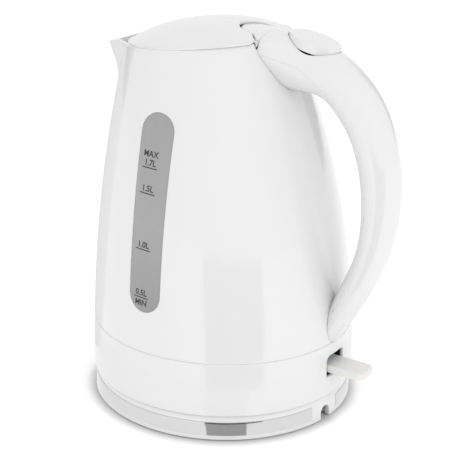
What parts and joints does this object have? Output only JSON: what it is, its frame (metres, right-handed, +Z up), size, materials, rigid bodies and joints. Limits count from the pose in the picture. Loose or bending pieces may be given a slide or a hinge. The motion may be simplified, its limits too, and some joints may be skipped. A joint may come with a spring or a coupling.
{
  "type": "electric kettle",
  "caption": "Plastic electric jug kettle with a pointed spout, hinged lid, loop handle with a lid button, water gauge and rocker switch, on a round power base.",
  "frame": {"origin": "on the table, at the centre of the round power base", "axes": "+Z up, +X to the handle, -X to the spout, -Y to the side with the water gauge"},
  "size_m": [0.2048, 0.1632, 0.2333],
  "materials": {
    "white_gloss": "moulded gloss white",
    "white_satin": "moulded satin white",
    "clear_grey": "clear grey plastic",
    "lever_clear": "light grey translucent plastic",
    "band_chrome": "bright plated",
    "stainless": "brushed stainless",
    "aluminium": "as cast",
    "element_steel": "oxidised tube",
    "brass": "bright",
    "dark_plastic": "heat resistant black",
    "rubber": "soft dark",
    "silicone": "grey silicone",
    "wire_white": "wire insulation",
    "lamp_glass": "neon capsule",
    "screw_steel": "zinc plated"
  },
  "bodies": {
    "base": {"base_shell": "white_gloss", "base_plate": "white_satin", "base_foot_ring": "rubber", "base_screws": "screw_steel", "base_trim_band": "band_chrome", "cord_grip": "white_satin", "terminal_block": "dark_plastic", "base_leads": "wire_white"},
    "tower": {"connector_tower": "dark_plastic", "tower_contacts": "brass"},
    "kettle": {"jug": "white_gloss", "heater_seat": "white_satin", "filter_rails": "white_satin", "water_gauge": "clear_grey", "skirt": "white_gloss", "underside_cover": "white_satin", "body_screws": "screw_steel", "heater_plate": "stainless", "plate_gasket": "silicone", "heat_spreader": "aluminium", "heating_element": "element_steel", "element_leads": "wire_white", "control_unit": "dark_plastic", "connector_pins": "brass", "bimetal_disc": "stainless", "switch_bracket": "dark_plastic", "lever_pin": "screw_steel", "indicator_lamp": "lamp_glass", "handle_shell": "white_gloss", "handle_inner_cover": "white_gloss", "steam_tube": "silicone", "lid_hinge_pin": "screw_steel", "filter_frame": "white_satin", "filter_mesh": "white_satin", "button_spring": "screw_steel"},
    "lid": {"lid_outer": "white_gloss", "lid_inner": "white_satin"},
    "button": {"lid_button": "white_gloss"},
    "latch": {"lid_latch": "white_satin"},
    "lever": {"switch_lever": "lever_clear"},
    "plunger": {"trip_plunger": "white_satin"}
  },
  "joints": [
    {"name": "kettle_turn", "type": "hinge", "parent": "base", "child": "tower", "pos_m": [0, 0, 0.02], "axis": [0, 0, 1], "continuous": true},
    {"name": "kettle_lift", "type": "slide", "parent": "tower", "child": "kettle", "axis": [0, 0, 1], "range_m": [0, 0.06]},
    {"name": "lid_hinge", "type": "hinge", "parent": "kettle", "child": "lid", "pos_m": [0.0292, 0, 0.22528], "axis": [0, 1, 0], "range_deg": [0, 70]},
    {"name": "lid_button_press", "type": "slide", "parent": "kettle", "child": "button", "axis": [-0.2419, 0, -0.9703], "range_m": [0, 0.003], "stiffness_N_per_m": 300, "springref_m": -0.002, "deforming": ["button_spring"]},
    {"name": "lid_latch_slide", "type": "slide", "parent": "kettle", "child": "latch", "axis": [1, 0, 0], "range_m": [0, 0.003]},
    {"name": "switch_rock", "type": "hinge", "parent": "kettle", "child": "lever", "pos_m": [0.0681, 0, 0.035], "axis": [0, -1, 0], "range_deg": [0, 12]},
    {"name": "trip_slide", "type": "slide", "parent": "kettle", "child": "plunger", "axis": [0, 0, -1], "range_m": [0, 0.002]}
  ],
  "couplings": [
    {"joint": "lid_latch_slide", "follows": "lid_button_press", "ratio": 1},
    {"joint": "trip_slide", "follows": "switch_rock", "m_per_rad": 0.009}
  ]
}
